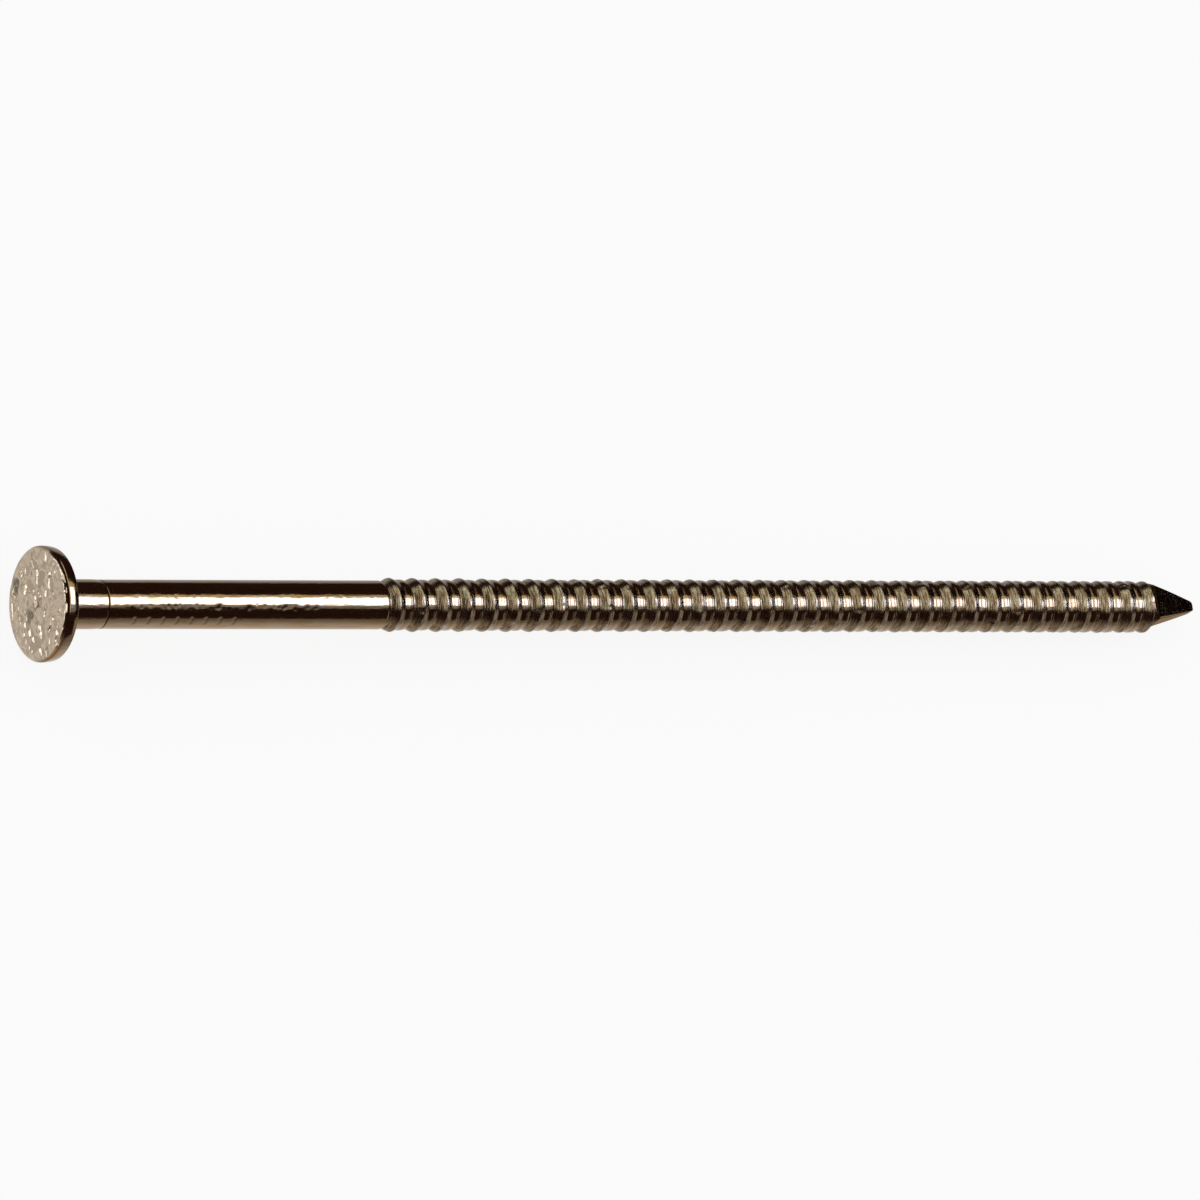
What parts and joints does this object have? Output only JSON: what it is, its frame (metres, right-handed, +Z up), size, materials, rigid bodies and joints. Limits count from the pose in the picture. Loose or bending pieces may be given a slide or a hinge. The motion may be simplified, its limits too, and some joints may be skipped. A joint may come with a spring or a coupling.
{
  "type": "ring-shank nail",
  "caption": "Flat-headed wire nail with a plain upper shank, raised annular rings along the lower shank and a four-sided diamond point.",
  "frame": {"origin": "centre of the head's striking face, on the nail's axis", "axes": "+X along the nail from the head to the tip, +Z up, -X out of the striking face"},
  "size_m": [0.0833, 0.0072, 0.0072],
  "materials": {
    "struck_head": "bare stainless steel, struck by a rough punch: pebbled, satin",
    "drawn_wire": "bare stainless steel, bright drawn, with fine lines along the wire",
    "rolled_rings": "bare stainless steel, bright lands with satin rolled grooves",
    "pinched_point": "bare stainless steel, smooth pinched facets with sharp arrises"
  },
  "bodies": {
    "root": {"head": "struck_head", "plain_shank": "drawn_wire", "ringed_shank": "rolled_rings", "diamond_point": "pinched_point"}
  },
  "joints": []
}
